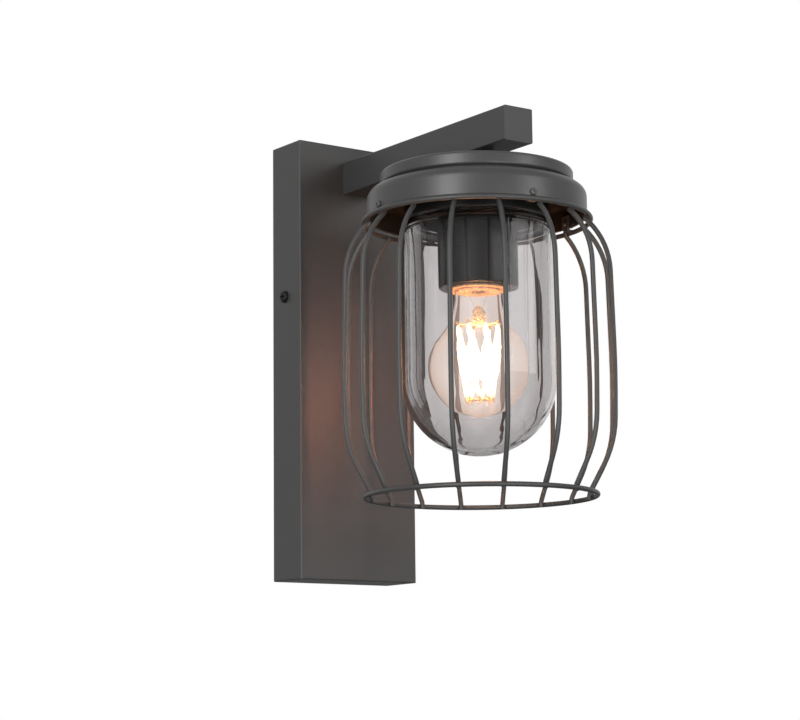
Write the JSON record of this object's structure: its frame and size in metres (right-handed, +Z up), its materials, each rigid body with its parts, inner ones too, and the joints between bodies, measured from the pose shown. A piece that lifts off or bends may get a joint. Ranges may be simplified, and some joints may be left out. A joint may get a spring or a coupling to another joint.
{
  "type": "outdoor wall light",
  "caption": "Outdoor wall light: a tall wall box with a square arm that carries a capped, clear glass lamp inside a cage of bent upright wires.",
  "frame": {"origin": "centre of the wall box's back, on the wall", "axes": "+X right as seen from the front, +Y into the wall, +Z up; the light stands out towards -Y"},
  "size_m": [0.1646, 0.2404, 0.28],
  "materials": {
    "anthracite_coat": "fine matt powder coat, anthracite",
    "zinc_steel": "zinc plated, satin",
    "bare_steel": "bare steel, satin",
    "zinc_screw": "zinc plated screw, bright",
    "black_screw": "black coated screw, satin",
    "white_plastic": "off-white moulded plastic",
    "brass": "plain brass",
    "lead_brown": "brown insulation",
    "lead_blue": "blue insulation",
    "lead_green": "green and yellow insulation",
    "glass_fibre_sleeve": "woven glass-fibre sleeve, varnished",
    "black_rubber": "black rubber",
    "black_metal": "black, satin",
    "clear_silicone": "translucent silicone",
    "black_plastic": "black moulded plastic, satin",
    "porcelain": "white glazed porcelain",
    "clear_glass": "clear blown glass",
    "bulb_metal": "rolled aluminium, bright",
    "bulb_insulator": "black vitrified insulator",
    "bulb_glass": "thin clear glass",
    "support_wire": "bright wire",
    "filament": "yellow coated filament stick, lit warm"
  },
  "bodies": {
    "body": {"wall_box": "anthracite_coat", "wall_bracket": "zinc_steel", "side_screws": "black_screw", "terminal_block": "white_plastic", "terminal_clamps": "brass", "clamp_screws": "zinc_screw", "block_screws": "zinc_screw", "earth_lug": "brass", "earth_washer": "zinc_screw", "earth_screw": "zinc_screw", "lead_live": "lead_brown", "lead_neutral": "lead_blue", "lead_earth": "lead_green", "lead_sleeve": "glass_fibre_sleeve", "arm_clamp_plate": "zinc_steel", "arm_screws": "zinc_screw", "arm_root_block": "bare_steel", "arm_tube": "anthracite_coat", "arm_end_plate": "anthracite_coat", "arm_boss": "anthracite_coat", "cap_seal": "black_rubber", "threaded_tube": "zinc_steel", "cap_shell": "anthracite_coat", "cap_spacer": "zinc_steel", "glass_holder": "black_metal", "glass_gasket": "clear_silicone", "lock_washer": "zinc_steel", "clamp_nut": "zinc_steel", "lampholder_sleeve": "black_plastic", "lampholder_dome": "black_plastic", "lampholder_terminals": "brass", "terminal_screws": "zinc_screw", "lampholder_body": "porcelain", "lampholder_shell": "brass", "lampholder_contact": "brass", "cage_top_ring": "anthracite_coat", "cage_low_ring": "anthracite_coat", "cage_wires": "anthracite_coat", "cage_lugs": "anthracite_coat", "cage_screws": "black_screw"},
    "glass": {"glass_shade": "clear_glass"},
    "bulb": {"bulb_cap": "bulb_metal", "bulb_insulator": "bulb_insulator", "bulb_tip": "bulb_metal", "bulb_glass": "bulb_glass", "bulb_stem": "bulb_glass", "bulb_supports": "support_wire", "bulb_filaments": "filament"}
  },
  "joints": [
    {"name": "glass_lower", "type": "slide", "parent": "body", "child": "glass", "axis": [0, 0, -1], "range_m": [0, 0.2]},
    {"name": "bulb_unscrew", "type": "slide", "parent": "body", "child": "bulb", "axis": [0, 0, -1], "range_m": [0, 0.0145]}
  ]
}
